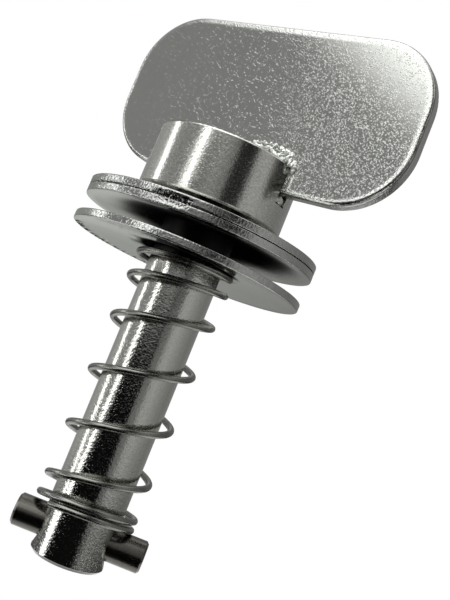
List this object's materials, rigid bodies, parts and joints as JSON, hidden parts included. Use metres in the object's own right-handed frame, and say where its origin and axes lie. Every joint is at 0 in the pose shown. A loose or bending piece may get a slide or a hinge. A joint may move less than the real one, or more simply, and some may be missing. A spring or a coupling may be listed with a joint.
{
  "type": "spring-loaded locking knob",
  "caption": "Turned steel knob with a flat rounded handle plate, loose wide washers, a compression spring and a cross pin at the tip.",
  "frame": {"origin": "on the shank's axis at the underside of the lower face washer, where the front of the panel sits", "axes": "+Z along the shank towards the handle; X along the handle plate, which stands out further on the +X side; -Y is the side the plate is seen from"},
  "size_m": [0.0564, 0.0392, 0.0929],
  "materials": {
    "plated_stud": "bright plated, slight orange peel",
    "plated_plate": "bright plated, fine-grained",
    "weld_metal": "rough, bright",
    "pin_steel": "smooth",
    "plated_washer": "bright faces, stamped edge",
    "spring_wire": "satin"
  },
  "bodies": {
    "face_washers": {"upper_face_washer": "plated_washer", "lower_face_washer": "plated_washer"},
    "spring_side": {"spring_washer": "plated_washer", "spring": "spring_wire"},
    "knob": {"stud": "plated_stud", "handle_plate": "plated_plate", "weld_bead": "weld_metal", "cross_pin": "pin_steel"}
  },
  "joints": [
    {"name": "knob_turn", "type": "hinge", "parent": "face_washers", "child": "spring_side", "pos_m": [0, 0, 0], "axis": [0, 0, 1], "continuous": true},
    {"name": "knob_pull", "type": "slide", "parent": "spring_side", "child": "knob", "axis": [0, 0, 1], "range_m": [-0.0008, 0.03], "stiffness_N_per_m": 550, "springref_m": -0.0008, "deforming": ["spring"]}
  ]
}
